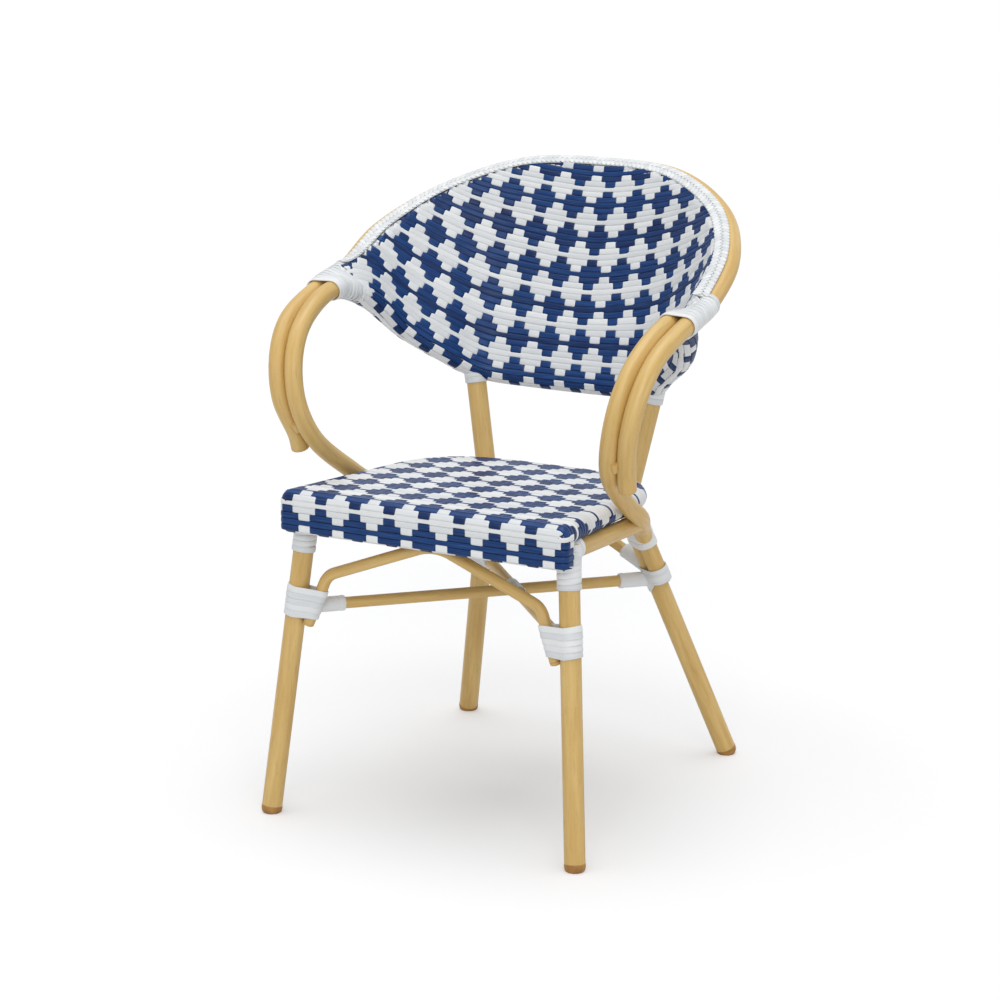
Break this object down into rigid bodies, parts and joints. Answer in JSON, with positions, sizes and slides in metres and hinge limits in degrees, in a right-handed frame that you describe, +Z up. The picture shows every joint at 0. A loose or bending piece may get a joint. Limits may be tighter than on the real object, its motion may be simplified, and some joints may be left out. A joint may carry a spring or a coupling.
{
  "type": "woven bistro armchair",
  "caption": "Stackable bistro armchair: bent tube frame painted like bamboo, curved back and flat seat woven in blue and white strand, wrapped joints.",
  "frame": {"origin": "on the floor, at the middle of the chair's footprint", "axes": "+Z up; the sitter faces -Y; +X is the sitter's left and runs across the chair"},
  "size_m": [0.5934, 0.5698, 0.851],
  "materials": {
    "bamboo_paint": "satin tan paint with faint brown streaks, like bamboo",
    "white_strand": "flat white synthetic strand, satin",
    "blue_white_weave": "navy and white flat synthetic strand woven in a pattern of crosses, satin",
    "brown_plastic": "brown plastic"
  },
  "bodies": {
    "root": {"front_leg_left": "bamboo_paint", "rear_leg_left": "bamboo_paint", "arm_weld_left": "bamboo_paint", "front_leg_wrap_left": "white_strand", "rear_leg_wrap_left": "white_strand", "rear_leg_band_left": "white_strand", "arm_wrap_left": "white_strand", "front_bar_sleeve_left": "white_strand", "rear_bar_sleeve_left": "white_strand", "rear_bow_sleeve_left": "white_strand", "post_top_wrap_left": "white_strand", "leg_top_collar_left": "white_strand", "leg_top_winding_left": "white_strand", "seat_side_rail_left": "bamboo_paint", "front_foot_left": "brown_plastic", "rear_foot_left": "brown_plastic", "arm_end_plug_left": "bamboo_paint", "bow_end_plug_left": "bamboo_paint", "front_leg_right": "bamboo_paint", "rear_leg_right": "bamboo_paint", "arm_weld_right": "bamboo_paint", "front_leg_wrap_right": "white_strand", "rear_leg_wrap_right": "white_strand", "rear_leg_band_right": "white_strand", "arm_wrap_right": "white_strand", "front_bar_sleeve_right": "white_strand", "rear_bar_sleeve_right": "white_strand", "rear_bow_sleeve_right": "white_strand", "post_top_wrap_right": "white_strand", "leg_top_collar_right": "white_strand", "leg_top_winding_right": "white_strand", "seat_side_rail_right": "bamboo_paint", "front_foot_right": "brown_plastic", "rear_foot_right": "brown_plastic", "arm_end_plug_right": "bamboo_paint", "bow_end_plug_right": "bamboo_paint", "back_hoop_and_outer_arms": "bamboo_paint", "lower_back_rail_and_inner_arms": "bamboo_paint", "seat_front_rail": "bamboo_paint", "seat_rear_rail": "bamboo_paint", "cross_bar_long": "bamboo_paint", "cross_bar_front_half": "bamboo_paint", "cross_bar_rear_half": "bamboo_paint", "front_bow": "bamboo_paint", "rear_bow": "bamboo_paint", "seat_pad_ring": "bamboo_paint", "cross_centre_wrap": "white_strand", "hoop_braid": "white_strand", "back_weave": "blue_white_weave", "seat_weave": "blue_white_weave"}
  },
  "joints": []
}
